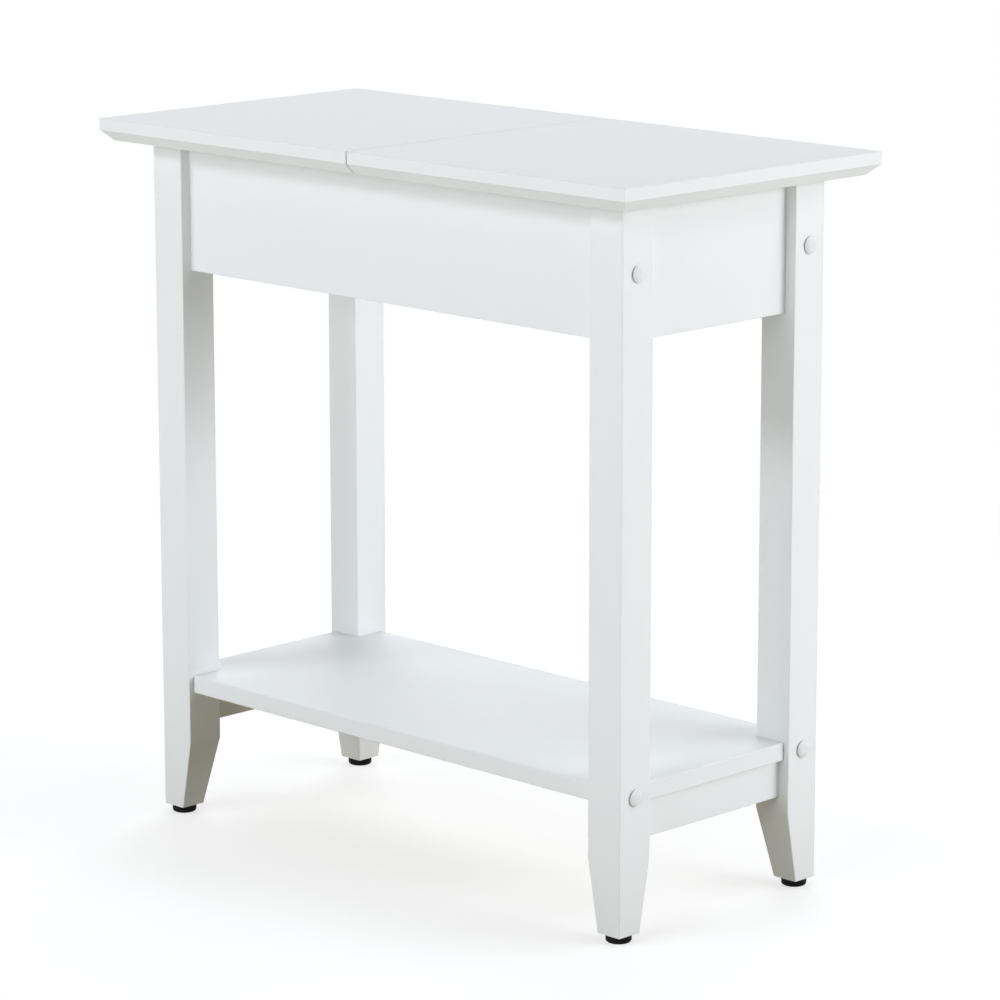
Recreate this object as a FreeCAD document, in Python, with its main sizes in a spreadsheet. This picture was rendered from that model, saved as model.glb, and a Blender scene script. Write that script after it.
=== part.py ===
import FreeCAD, Part
import math
import os
import re
import Sketcher

# Flip-top end table: X runs along the long side, Y along the short side, Z up.
# The origin is on the floor under the middle of the top, and -Y is the front.

# ---------------------------------------------------------------- driving dimensions, mm
DIMENSIONS = {
    # the top: a fixed panel and a lid that meet at a seam across the middle
    "table_height": 610,
    "top_length": 610,
    "top_width": 300,
    "top_thickness": 19,
    "top_bevel": 9,
    "top_easing": 0.8,
    "top_overhang": 32,
    "seam_gap": 1.2,
    "seam_shift": 0,
    # legs: square above, with both inner faces tapered below the side stretchers
    "leg_size": 35,
    "leg_foot_size": 24,
    "leg_taper_height": 60,
    "leg_easing": 1,
    # aprons round the storage compartment
    "apron_height": 109,
    "apron_thickness": 15,
    "apron_recess": 10,
    "apron_easing": 0.6,
    # compartment bottom, held in a groove that runs round inside the aprons
    "bottom_thickness": 6,
    "bottom_rise": 8,
    "groove_depth": 5,
    "groove_clearance": 0.25,
    # centre rail under the seam
    "rail_thickness": 18,
    "rail_height": 40,
    "rail_shift": -6,
    # cleats that hold the fixed panel down
    "cleat_size": 15,
    "cleat_length": 180,
    "cleat_leg_gap": 6,
    # shelf and the side stretchers that carry it
    "shelf_height": 127,
    "shelf_thickness": 15,
    "shelf_recess": 5,
    "shelf_leg_gap": 0.5,
    "shelf_easing": 1,
    "stretcher_height": 32,
    "stretcher_thickness": 15,
    # connector bolts, their barrel nuts and the caps over their heads
    "bolt_diameter": 6,
    "bolt_length": 60,
    "bolt_head_diameter": 10,
    "bolt_head_height": 5,
    "bolt_socket": 4,
    "bolt_socket_depth": 3,
    "bolt_clearance": 0.5,
    "bolt_well_diameter": 11,
    "bolt_well_depth": 8,
    "nut_diameter": 10,
    "nut_length": 12,
    "nut_setback": 20,
    "nut_clearance": 0.1,
    "thread_clearance": 0.05,
    "bolt_end_gap": 2,
    "cap_diameter": 15,
    "cap_rim": 0.8,
    "cap_crown": 2.2,
    "cap_stem_clearance": 0.1,
    "cap_stem_gap": 0.2,
    # dowels
    "dowel_diameter": 8,
    "dowel_length": 24,
    "dowel_bevel": 1,
    "dowel_clearance": 0.05,
    "dowel_end_gap": 0.3,
    "apron_dowel_spacing": 70,
    "end_dowel_spacing": 50,
    "stretcher_dowel_spacing": 16,
    "rail_dowel_diameter": 6,
    "rail_dowel_length": 24,
    "rail_dowel_spacing": 20,
    "rail_dowel_in_apron": 8,
    # wood screws with pan heads
    "screw_diameter": 3.5,
    "screw_tip_length": 3,
    "screw_head_diameter": 7,
    "screw_head_height": 2.4,
    "screw_clearance": 0.05,
    "screw_grip": 12,
    "screw_well_clearance": 0.5,
    "screw_end_gap": 0.4,
    "cleat_screw_spacing": 120,
    "cleat_side_screw_spacing": 80,
    "rail_screw_spacing": 90,
    "rail_screw_head_depth": 20,
    "rail_screw_setback": 8.5,
    "shelf_screw_spacing": 100,
    "shelf_screw_head_depth": 14,
    "shelf_screw_grip": 10,
    # foot glides and the nails that hold them
    "foot_height": 7,
    "foot_diameter": 21,
    "foot_rounding": 2.5,
    "nail_diameter": 2.5,
    "nail_length": 20,
    "nail_tip_length": 3,
    "nail_head_diameter": 6,
    "nail_head_height": 1,
    "nail_head_depth": 3,
    "nail_clearance": 0.05,
    # concealed barrel hinges in the seam
    "hinge_spacing": 150,
    "hinge_axis_rise": 0.25,
    "barrel_diameter": 14,
    "barrel_length": 15,
    "barrel_clearance": 0.05,
    "barrel_mouth_depth": 5,
    "barrel_end_gap": 0.3,
    "link_pin_drop": 5.75,
    "link_pin_reach": 1.5,
    "link_pin_diameter": 1.4,
    "link_pin_clearance": 0.05,
    "link_width": 2.6,
    "link_thickness": 1,
    "link_gap": 0.15,
    "tongue_thickness": 1.2,
}

document = FreeCAD.newDocument("flip_top_end_table")
sheet = document.addObject("Spreadsheet::Sheet", "Dims")
for row, (alias, size) in enumerate(DIMENSIONS.items(), start=1):
    sheet.set(f"A{row}", alias)
    sheet.set(f"B{row}", str(size))
    sheet.setAlias(f"B{row}", alias)
document.recompute()

# ---------------------------------------------------------------- places worked out from them
TOP_UNDERSIDE = "(table_height - top_thickness)"
LEG_X = "(top_length / 2 - top_overhang)"
LEG_Y = "(top_width / 2 - top_overhang)"
LEG_INNER_X = f"({LEG_X} - leg_size)"
LEG_INNER_Y = f"({LEG_Y} - leg_size)"
LEG_BASE = "foot_height"
APRON_X = f"({LEG_X} - apron_recess)"
APRON_Y = f"({LEG_Y} - apron_recess)"
APRON_MID_X = f"({APRON_X} - apron_thickness / 2)"
APRON_MID_Y = f"({APRON_Y} - apron_thickness / 2)"
APRON_INNER_X = f"({APRON_X} - apron_thickness)"
APRON_INNER_Y = f"({APRON_Y} - apron_thickness)"
APRON_BASE = f"({TOP_UNDERSIDE} - apron_height)"
APRON_MID = f"({TOP_UNDERSIDE} - apron_height / 2)"
GROOVE_BASE = f"({APRON_BASE} + bottom_rise)"
GROOVE_WIDTH = "(bottom_thickness + 2 * groove_clearance)"
SHELF_BASE = "(shelf_height - shelf_thickness)"
SHELF_MID = "(shelf_height - shelf_thickness / 2)"
STRETCHER_BASE = f"({SHELF_BASE} - stretcher_height)"
STRETCHER_MID = f"({SHELF_BASE} - stretcher_height / 2)"
STRETCHER_MID_X = f"({APRON_X} - stretcher_thickness / 2)"
RAIL_BASE = f"({TOP_UNDERSIDE} - rail_height)"
RAIL_X = "(seam_shift + rail_shift)"
BOLT_HEAD_X = f"({LEG_X} - bolt_well_depth)"
NUT_X = f"({LEG_INNER_X} - nut_setback)"
DOWEL_HOLE = "(dowel_diameter + 2 * dowel_clearance)"
DOWEL_DEPTH = "(dowel_length / 2 + dowel_end_gap)"
SCREW_HOLE = "(screw_diameter + 2 * screw_clearance)"
SCREW_WELL = "(screw_head_diameter + 2 * screw_well_clearance)"
BOLT_HOLE = "(bolt_diameter + 2 * bolt_clearance)"
RAIL_DOWEL_HOLE = "(rail_dowel_diameter + 2 * dowel_clearance)"
RAIL_DOWEL_IN_RAIL = "(rail_dowel_length - rail_dowel_in_apron)"
NUT_HOLE = "(nut_diameter + 2 * nut_clearance)"
NUT_DEPTH = "(apron_thickness / 2 + nut_length / 2)"
SHELF_NUT_DEPTH = "(shelf_thickness / 2 + nut_length / 2)"
CLEAT_END = f"({LEG_INNER_X} - cleat_leg_gap)"
CLEAT_MID_X = f"({CLEAT_END} - cleat_length / 2)"
CLEAT_MID_Y = f"({APRON_INNER_Y} - cleat_size / 2)"
CLEAT_BASE = f"({TOP_UNDERSIDE} - cleat_size)"
RAIL_SCREW_X = "(seam_shift - rail_screw_setback)"
FOOT_X = f"({LEG_X} - leg_foot_size / 2)"
FOOT_Y = f"({LEG_Y} - leg_foot_size / 2)"
HINGE_Y = "(hinge_spacing / 2)"
HINGE_AXIS_Z = "(table_height + hinge_axis_rise)"
BARREL_Z = "(table_height - top_thickness / 2)"
PIN_Z = f"({HINGE_AXIS_Z} - link_pin_drop)"
CROSS_Z = f"({HINGE_AXIS_Z} - 2 * link_pin_drop)"
INNER_LINK_Y = "(tongue_thickness / 2 + link_gap)"
OUTER_LINK_Y = f"({INNER_LINK_Y} + link_thickness + link_gap)"
EAR_Y = f"({OUTER_LINK_Y} + link_thickness + link_gap)"
EAR_OUTER_Y = f"({EAR_Y} + link_thickness)"


# ---------------------------------------------------------------- helpers
def bind(expression):
    """Point every dimension named in an expression at its cell in the sheet."""
    def cell(word):
        name = word.group()
        return f"Dims.{name}" if name in DIMENSIONS else name

    return re.sub(r"[a-z_]+", cell, expression)


def value(expression):
    """The present value of an expression, in millimetres."""
    return float(sheet.evalExpression(bind(expression)))


def negative(expression):
    return f"(-1 * {expression})"


def times(sign, expression):
    """The expression for the piece on the plus side or, with -1, its twin's."""
    return expression if sign > 0 else negative(expression)


def span(side, near, far):
    """The lower and upper end, on one side of the middle, of a stretch from near to far."""
    return (near, far) if side > 0 else (negative(far), negative(near))


def above(base, level):
    """A height on the table, as a height in a sub-part that starts at its base."""
    return f"({level} - {base})"


def pair(middle, spacing):
    """Two places at a spacing, centred on a middle."""
    return [f"({middle} - {spacing} / 2)", f"({middle} + {spacing} / 2)"]


# The origin plane across each axis, and the way that its sketches face along that axis.
PLANES = {"x": ("YZ_Plane", 1), "y": ("XZ_Plane", -1), "z": ("XY_Plane", 1)}
FULL_TURN = 360
HEX_STEP = 60
HALF_CIRCLE = "half circle"
SAME_PLACE = 1e-6


def new_body(name, base):
    """A sub-part, whose own origin is on the table's middle line at its base height."""
    body = document.addObject("PartDesign::Body", name)
    body.Label = name
    body.AllowCompound = True
    body.setExpression("Placement.Base.z", bind(base))
    return body


def origin_feature(body, role):
    return next(item for item in body.Origin.OriginFeatures if item.Role == role)


def new_sketch(body, name, axis, level, origin=("0", "0")):
    """A sketch across an axis at a level, with its own origin moved to a point."""
    role, facing = PLANES[axis]
    sketch = body.newObject("Sketcher::SketchObject", name)
    sketch.AttachmentSupport = [(origin_feature(body, role), "")]
    sketch.MapMode = "FlatFace"
    sketch.setExpression("AttachmentOffset.Base.x", bind(origin[0]))
    sketch.setExpression("AttachmentOffset.Base.y", bind(origin[1]))
    sketch.setExpression("AttachmentOffset.Base.z", bind(times(facing, level)))
    return sketch


def hold(sketch, kind, *where, size):
    """A sketch constraint whose size follows the sheet."""
    index = sketch.addConstraint(Sketcher.Constraint(kind, *where, value(size)))
    sketch.setExpression(f"Constraints[{index}]", bind(size))


def place(sketch, geometry, point, x, y):
    hold(sketch, "DistanceX", -1, 1, geometry, point, size=x)
    hold(sketch, "DistanceY", -1, 1, geometry, point, size=y)


def arc_between(start, end, radius):
    """An arc that bulges to the right of the way from start to end."""
    chord = end - start
    radius = chord.Length / 2 if radius == HALF_CIRCLE else value(radius)
    rise = math.sqrt(max(radius ** 2 - chord.Length ** 2 / 4, 0))
    left = FreeCAD.Vector(-chord.y, chord.x, 0).normalize()
    centre = (start + end) / 2 + left * rise
    first, last = (math.atan2(p.y - centre.y, p.x - centre.x) for p in (start, end))
    circle = Part.Circle(centre, FreeCAD.Vector(0, 0, 1), radius)
    return Part.ArcOfCircle(circle, first, last)


def draw_outline(sketch, corners):
    """A closed outline, anticlockwise; a corner with a radius starts an outward arc."""
    points = [FreeCAD.Vector(value(corner[0]), value(corner[1]), 0) for corner in corners]
    edges = []
    for corner, start, end in zip(corners, points, points[1:] + points[:1]):
        if len(corner) == 3:
            edges.append(sketch.addGeometry(arc_between(start, end, corner[2])))
        else:
            edges.append(sketch.addGeometry(Part.LineSegment(start, end)))
    for edge, following in zip(edges, edges[1:] + edges[:1]):
        sketch.addConstraint(Sketcher.Constraint("Coincident", edge, 2, following, 1))
    for edge, corner in zip(edges, corners):
        place(sketch, edge, 1, corner[0], corner[1])
        if corner[2:] == (HALF_CIRCLE,):
            sketch.addConstraint(Sketcher.Constraint("Symmetric", edge, 1, edge, 2, edge, 3))
        elif len(corner) == 3:
            hold(sketch, "Radius", edge, size=corner[2])


def draw_circle(sketch, x, y, diameter):
    centre = FreeCAD.Vector(value(x), value(y), 0)
    circle = Part.Circle(centre, FreeCAD.Vector(0, 0, 1), value(diameter) / 2)
    index = sketch.addGeometry(circle)
    place(sketch, index, 3, x, y)
    hold(sketch, "Diameter", index, size=diameter)


def rectangle(left, right, low, high):
    return [(left, low), (right, low), (right, high), (left, high)]


def pad(body, name, axis, level, length, corners, holes=()):
    """Material from a level, for a length along the plus axis."""
    sketch = new_sketch(body, f"{name}_outline", axis, level)
    draw_outline(sketch, corners)
    for x, y, diameter in holes:
        draw_circle(sketch, x, y, diameter)
    return extrude(body, "PartDesign::Pad", name, sketch, length, PLANES[axis][1] < 0)


def round_pad(body, name, axis, level, length, x, y, diameter):
    sketch = new_sketch(body, f"{name}_circle", axis, level)
    draw_circle(sketch, x, y, diameter)
    return extrude(body, "PartDesign::Pad", name, sketch, length, PLANES[axis][1] < 0)


def pocket(body, name, axis, level, length, corners):
    """A cut from a level, for a length along the plus axis."""
    sketch = new_sketch(body, f"{name}_outline", axis, level)
    draw_outline(sketch, corners)
    return extrude(body, "PartDesign::Pocket", name, sketch, length, PLANES[axis][1] > 0)


def bore(body, name, axis, level, length, points, diameter):
    """Round holes from a level, for a length along the plus axis."""
    sketch = new_sketch(body, f"{name}_circles", axis, level)
    for x, y in points:
        draw_circle(sketch, x, y, diameter)
    return extrude(body, "PartDesign::Pocket", name, sketch, length, PLANES[axis][1] > 0)


def extrude(body, kind, name, sketch, length, is_reversed):
    feature = body.newObject(kind, name)
    feature.Profile = sketch
    feature.setExpression("Length", bind(length))
    feature.Reversed = is_reversed
    sketch.Visibility = False
    return feature


# For a turned piece's axis: the axis that its profile's plane lies across, and the line of
# that plane which the profile turns about.
TURNING = {"x": ("y", "H_Axis"), "y": ("x", "H_Axis"), "z": ("y", "V_Axis")}


def turned(body, name, axis, origin, corners):
    """A turned piece. Corners are (along, radius) on x and y, and (radius, height) on z."""
    across, centre_line = TURNING[axis]
    at = dict(zip("xyz", origin))
    level = at.pop(across)
    sketch = new_sketch(body, f"{name}_profile", across, level, tuple(at.values()))
    draw_outline(sketch, corners)
    feature = body.newObject("PartDesign::Revolution", name)
    feature.Profile = sketch
    feature.ReferenceAxis = (sketch, [centre_line])
    feature.Angle = FULL_TURN
    sketch.Visibility = False
    return feature


def mirrored(body, features, roles):
    """Repeat features across the middle planes of the table."""
    pattern = body.newObject("PartDesign::MultiTransform", f"{body.Name}_pattern")
    mirrors = []
    for role in roles:
        mirror = body.newObject("PartDesign::Mirrored", f"{body.Name}_{role}")
        mirror.MirrorPlane = (origin_feature(body, role), [""])
        mirrors.append(mirror)
    pattern.Originals = features
    pattern.Transformations = mirrors
    body.Tip = pattern
    return pattern


ACROSS_LENGTH = ("YZ_Plane",)
ACROSS_WIDTH = ("XZ_Plane",)
ALL_QUARTERS = ("YZ_Plane", "XZ_Plane")


def edges_where(feature, test):
    """Names of a feature's straight edges that pass a test on their two ends."""
    names = []
    for index, edge in enumerate(feature.Shape.Edges, start=1):
        if edge.Curve.TypeId == "Part::GeomLine":
            first, last = (vertex.Point for vertex in edge.Vertexes)
            if test(first, last):
                names.append(f"Edge{index}")
    return names


def close(a, b):
    return abs(a - b) < SAME_PLACE


def ease(body, name, base, size, test):
    """Round over the chosen edges of a finished feature."""
    document.recompute()
    feature = body.newObject("PartDesign::Fillet", name)
    feature.Base = (base, edges_where(base, test))
    feature.setExpression("Radius", bind(size))
    return feature


# ---------------------------------------------------------------- the top
def make_top_panel(name, side):
    """The fixed panel (side -1) or the lid: a light edge band over a bevel cut at 45 degrees."""
    body = new_body(name, TOP_UNDERSIDE)
    seam_edge = f"(seam_shift + {times(side, '(seam_gap / 2)')})"
    outer_edge = times(side, "(top_length / 2)")
    half_width = "(top_width / 2)"
    board = pad(body, "board", "z", "0", "top_thickness",
                rectangle(seam_edge, outer_edge, negative(half_width), half_width))

    def is_outer(first, last):
        return not close(first.x, value(seam_edge)) or not close(last.x, value(seam_edge))

    document.recompute()
    bevel = body.newObject("PartDesign::Chamfer", "bevel")
    bevel.Base = (board, edges_where(board, lambda first, last: close(first.z, 0)
                                     and close(last.z, 0) and is_outer(first, last)))
    bevel.setExpression("Size", bind("top_bevel"))
    top = value("top_thickness")
    ease(body, "easing", bevel, "top_easing", lambda first, last: close(first.z, top)
         and close(last.z, top) and is_outer(first, last))
    middle = "(top_thickness / 2)"
    near, far = ("(seam_gap / 2)", "(seam_gap / 2 + barrel_length + barrel_end_gap)")
    low, _ = span(side, near, far)
    bore(body, "hinge_bores", "x", f"(seam_shift + {low})", f"({far} - {near})",
         [(HINGE_Y, middle), (negative(HINGE_Y), middle)],
         "(barrel_diameter + 2 * barrel_clearance)")
    return body


def drill_fixed_panel(body):
    """Blind holes for the screws that come up through the cleats and the centre rail."""
    places = [(negative(x), y) for x in pair(CLEAT_MID_X, "cleat_screw_spacing")
              for y in (CLEAT_MID_Y, negative(CLEAT_MID_Y))]
    places += [(RAIL_SCREW_X, y) for y in pair("0", "rail_screw_spacing")]
    bore(body, "screw_holes", "z", "0", "(screw_grip + screw_end_gap)", places, SCREW_HOLE)


# ---------------------------------------------------------------- legs
def make_leg(name, side_x, side_y):
    """A square leg whose two inner faces taper to a smaller foot."""
    body = new_body(name, LEG_BASE)
    x_low, x_high = span(side_x, LEG_INNER_X, LEG_X)
    y_low, y_high = span(side_y, LEG_INNER_Y, LEG_Y)
    pad(body, "post", "z", "0", above(LEG_BASE, TOP_UNDERSIDE), rectangle(x_low, x_high, y_low, y_high))
    for across, side, low, inner, outer in (
        ("y", side_x, y_low, LEG_INNER_X, LEG_X),
        ("x", side_y, x_low, LEG_INNER_Y, LEG_Y),
    ):
        wedge = [
            (times(side, inner), "0"),
            (times(side, f"({outer} - leg_foot_size)"), "0"),
            (times(side, inner), "leg_taper_height"),
        ]
        taper = pocket(body, f"taper_{across}", across, low, "leg_size", wedge)
    ease(body, "easing", taper, "leg_easing",
         lambda first, last: abs(first.z - last.z) > value("leg_foot_size"))
    drill_leg_for_bolts(body, side_x, side_y)
    drill_leg_for_dowels(body, side_x, side_y)
    bore(body, "nail_hole", "z", "0", f"(nail_head_depth + nail_length - {LEG_BASE} + screw_end_gap)",
         [(times(side_x, FOOT_X), times(side_y, FOOT_Y))], "(nail_diameter + 2 * nail_clearance)")


def drill_leg_for_bolts(body, side_x, side_y):
    """Holes through the leg at the apron and at the shelf, each with a well for the bolt's head."""
    x_low, _ = span(side_x, LEG_INNER_X, LEG_X)
    bolt_places = [(times(side_y, APRON_MID_Y), above(LEG_BASE, level))
                   for level in (APRON_MID, SHELF_MID)]
    bore(body, "bolt_holes", "x", x_low, "leg_size", bolt_places, BOLT_HOLE)
    well_low, _ = span(side_x, BOLT_HEAD_X, LEG_X)
    bore(body, "bolt_wells", "x", well_low, "bolt_well_depth", bolt_places, "bolt_well_diameter")


def drill_leg_for_dowels(body, side_x, side_y):
    """Two holes, one above the other, for each rail that meets the leg."""
    for feature, across, side, face, middle, level, spacing in (
        ("apron", "x", side_x, LEG_INNER_X, times(side_y, APRON_MID_Y), APRON_MID,
         "apron_dowel_spacing"),
        ("end_apron", "y", side_y, LEG_INNER_Y, times(side_x, APRON_MID_X), APRON_MID,
         "end_dowel_spacing"),
        ("stretcher", "y", side_y, LEG_INNER_Y, times(side_x, STRETCHER_MID_X), STRETCHER_MID,
         "stretcher_dowel_spacing"),
    ):
        low, _ = span(side, face, f"({face} + {DOWEL_DEPTH})")
        bore(body, f"{feature}_dowel_holes", across, low, DOWEL_DEPTH,
             [(middle, above(LEG_BASE, height)) for height in pair(level, spacing)], DOWEL_HOLE)


# ---------------------------------------------------------------- aprons and the compartment
def make_long_apron(name, side):
    """The front or back apron, bolted and dowelled between two legs."""
    base = APRON_BASE
    body = new_body(name, base)
    middle = above(base, APRON_MID)
    y_low, y_high = span(side, APRON_INNER_Y, APRON_Y)
    board = pad(body, "board", "z", "0", "apron_height",
                rectangle(negative(LEG_INNER_X), LEG_INNER_X, y_low, y_high))
    ease(body, "easing", board, "apron_easing", lambda first, last: close(first.z, 0)
         and close(last.z, 0) and close(first.y, last.y))
    groove_low, groove_high = span(side, APRON_INNER_Y, f"({APRON_INNER_Y} + groove_depth)")
    pocket(body, "groove", "z", above(base, GROOVE_BASE), GROOVE_WIDTH,
           rectangle(negative(LEG_INNER_X), LEG_INNER_X, groove_low, groove_high))

    apron_y = times(side, APRON_MID_Y)
    dowel_places = [(apron_y, above(base, level)) for level in pair(APRON_MID, "apron_dowel_spacing")]
    reach = f"({LEG_INNER_X} - {BOLT_HEAD_X} + bolt_length + bolt_end_gap)"
    for end, sign in (("left", -1), ("right", 1)):
        bolt_low, _ = span(sign, f"({LEG_INNER_X} - {reach})", LEG_INNER_X)
        bore(body, f"{end}_bolt_hole", "x", bolt_low, reach, [(apron_y, middle)], BOLT_HOLE)
        dowel_low, _ = span(sign, f"({LEG_INNER_X} - {DOWEL_DEPTH})", LEG_INNER_X)
        bore(body, f"{end}_dowel_holes", "x", dowel_low, DOWEL_DEPTH, dowel_places, DOWEL_HOLE)

    def from_inside(feature, depth, places, diameter):
        low, _ = span(side, APRON_INNER_Y, f"({APRON_INNER_Y} + {depth})")
        bore(body, feature, "y", low, depth, places, diameter)

    from_inside("nut_holes", NUT_DEPTH, [(NUT_X, middle), (negative(NUT_X), middle)], NUT_HOLE)
    rail_middle = above(base, f"({TOP_UNDERSIDE} - rail_height / 2)")
    from_inside("rail_dowel_holes", "(rail_dowel_in_apron + dowel_end_gap)",
                [(RAIL_X, level) for level in pair(rail_middle, "rail_dowel_spacing")], RAIL_DOWEL_HOLE)
    cleat_middle = above(base, f"({TOP_UNDERSIDE} - cleat_size / 2)")
    from_inside("screw_holes", "(screw_grip + screw_end_gap)",
                [(negative(x), cleat_middle) for x in pair(CLEAT_MID_X, "cleat_side_screw_spacing")],
                SCREW_HOLE)


def make_end_apron(name, side):
    """The left or right apron, dowelled between the two legs of an end frame."""
    base = APRON_BASE
    body = new_body(name, base)
    x_low, x_high = span(side, APRON_INNER_X, APRON_X)
    board = pad(body, "board", "z", "0", "apron_height",
                rectangle(x_low, x_high, negative(LEG_INNER_Y), LEG_INNER_Y))
    ease(body, "easing", board, "apron_easing", lambda first, last: close(first.z, 0)
         and close(last.z, 0) and close(first.x, last.x))
    groove_low, groove_high = span(side, APRON_INNER_X, f"({APRON_INNER_X} + groove_depth)")
    pocket(body, "groove", "z", above(base, GROOVE_BASE), GROOVE_WIDTH,
           rectangle(groove_low, groove_high, negative(LEG_INNER_Y), LEG_INNER_Y))
    places = [(times(side, APRON_MID_X), above(base, level))
              for level in pair(APRON_MID, "end_dowel_spacing")]
    drill_both_ends(body, places)


def drill_both_ends(body, places):
    """Dowel holes in the two ends of a rail that runs between the legs of an end frame."""
    for end, sign in (("front", -1), ("back", 1)):
        low, _ = span(sign, f"({LEG_INNER_Y} - {DOWEL_DEPTH})", LEG_INNER_Y)
        bore(body, f"{end}_dowel_holes", "y", low, DOWEL_DEPTH, places, DOWEL_HOLE)


def cross_outline(half_length, half_width, notch_x, notch_y):
    """A board with its four corners notched round the legs."""
    quarter = [(half_length, notch_y), (notch_x, notch_y), (notch_x, half_width)]
    corners = list(quarter)
    corners += [(negative(x), y) for x, y in reversed(quarter)]
    corners += [(negative(x), negative(y)) for x, y in quarter]
    corners += [(x, negative(y)) for x, y in reversed(quarter)]
    return corners


def make_compartment_bottom():
    body = new_body("compartment_bottom", f"({GROOVE_BASE} + groove_clearance)")
    reach = "(groove_depth - groove_clearance)"
    pad(body, "board", "z", "0", "bottom_thickness",
        cross_outline(f"({APRON_INNER_X} + {reach})", f"({APRON_INNER_Y} + {reach})",
                      f"({LEG_INNER_X} - groove_clearance)", f"({LEG_INNER_Y} - groove_clearance)"))


def make_centre_rail():
    """The rail under the seam, which carries the edges of both panels."""
    base = RAIL_BASE
    body = new_body("centre_rail", base)
    x_low, x_high = pair(RAIL_X, "rail_thickness")
    pad(body, "board", "z", "0", "rail_height",
        rectangle(x_low, x_high, negative(APRON_INNER_Y), APRON_INNER_Y))
    depth = f"({RAIL_DOWEL_IN_RAIL} + dowel_end_gap)"
    places = [(RAIL_X, level) for level in pair("(rail_height / 2)", "rail_dowel_spacing")]
    for end, sign in (("front", -1), ("back", 1)):
        low, _ = span(sign, f"({APRON_INNER_Y} - {depth})", APRON_INNER_Y)
        bore(body, f"{end}_dowel_holes", "y", low, depth, places, RAIL_DOWEL_HOLE)
    screws = [(RAIL_SCREW_X, y) for y in pair("0", "rail_screw_spacing")]
    bore(body, "screw_wells", "z", "0", "rail_screw_head_depth", screws, SCREW_WELL)
    bore(body, "screw_holes", "z", "0", "rail_height", screws, SCREW_HOLE)


def make_cleat(name, side):
    """A square cleat, screwed sideways to an apron and up into the fixed panel."""
    body = new_body(name, CLEAT_BASE)
    y_low, y_high = span(side, f"({APRON_INNER_Y} - cleat_size)", APRON_INNER_Y)
    pad(body, "board", "z", "0", "cleat_size",
        rectangle(negative(CLEAT_END), f"(cleat_length - {CLEAT_END})", y_low, y_high))
    bore(body, "up_holes", "z", "0", "cleat_size",
         [(negative(x), times(side, CLEAT_MID_Y)) for x in pair(CLEAT_MID_X, "cleat_screw_spacing")],
         SCREW_HOLE)
    bore(body, "side_holes", "y", y_low, "cleat_size",
         [(negative(x), "(cleat_size / 2)") for x in pair(CLEAT_MID_X, "cleat_side_screw_spacing")],
         SCREW_HOLE)


# ---------------------------------------------------------------- shelf and side stretchers
def make_shelf():
    base = SHELF_BASE
    body = new_body("shelf", base)
    half_length = f"({LEG_X} - shelf_recess)"
    half_width = f"({LEG_Y} - shelf_recess)"
    notch_x = f"({LEG_INNER_X} - shelf_leg_gap)"
    notch_y = f"({LEG_INNER_Y} - shelf_leg_gap)"
    board = pad(body, "board", "z", "0", "shelf_thickness",
                cross_outline(half_length, half_width, notch_x, notch_y))
    outer = (value(half_length), value(half_width))

    def is_outer_rim(first, last):
        on_end = close(abs(first.x), outer[0]) and close(first.x, last.x)
        on_side = close(abs(first.y), outer[1]) and close(first.y, last.y)
        return close(first.z, last.z) and (on_end or on_side)

    ease(body, "easing", board, "shelf_easing", is_outer_rim)
    middle = "(shelf_thickness / 2)"
    reach = f"({notch_x} - {BOLT_HEAD_X} + bolt_length + bolt_end_gap)"
    for end, sign in (("left", -1), ("right", 1)):
        low, _ = span(sign, f"({notch_x} - {reach})", notch_x)
        bore(body, f"{end}_bolt_holes", "x", low, reach,
             [(APRON_MID_Y, middle), (negative(APRON_MID_Y), middle)], BOLT_HOLE)
    bore(body, "nut_holes", "z", "0", SHELF_NUT_DEPTH,
         [(times(end, NUT_X), times(side, APRON_MID_Y)) for end in (-1, 1) for side in (-1, 1)],
         NUT_HOLE)
    bore(body, "screw_holes", "z", "0", "(shelf_screw_grip + screw_end_gap)",
         [(times(end, STRETCHER_MID_X), y) for end in (-1, 1) for y in pair("0", "shelf_screw_spacing")],
         SCREW_HOLE)


def make_side_stretcher(name, side):
    """A short rail under the shelf, dowelled between the legs of an end frame."""
    base = STRETCHER_BASE
    body = new_body(name, base)
    x_low, x_high = span(side, f"({APRON_X} - stretcher_thickness)", APRON_X)
    board = pad(body, "board", "z", "0", "stretcher_height",
                rectangle(x_low, x_high, negative(LEG_INNER_Y), LEG_INNER_Y))
    ease(body, "easing", board, "apron_easing", lambda first, last: close(first.z, 0)
         and close(last.z, 0) and close(first.x, last.x))
    middle = times(side, STRETCHER_MID_X)
    drill_both_ends(body, [(middle, above(base, level))
                           for level in pair(STRETCHER_MID, "stretcher_dowel_spacing")])
    screws = [(middle, y) for y in pair("0", "shelf_screw_spacing")]
    bore(body, "screw_wells", "z", "0", "shelf_screw_head_depth", screws, SCREW_WELL)
    bore(body, "screw_holes", "z", "0", "stretcher_height", screws, SCREW_HOLE)


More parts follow.
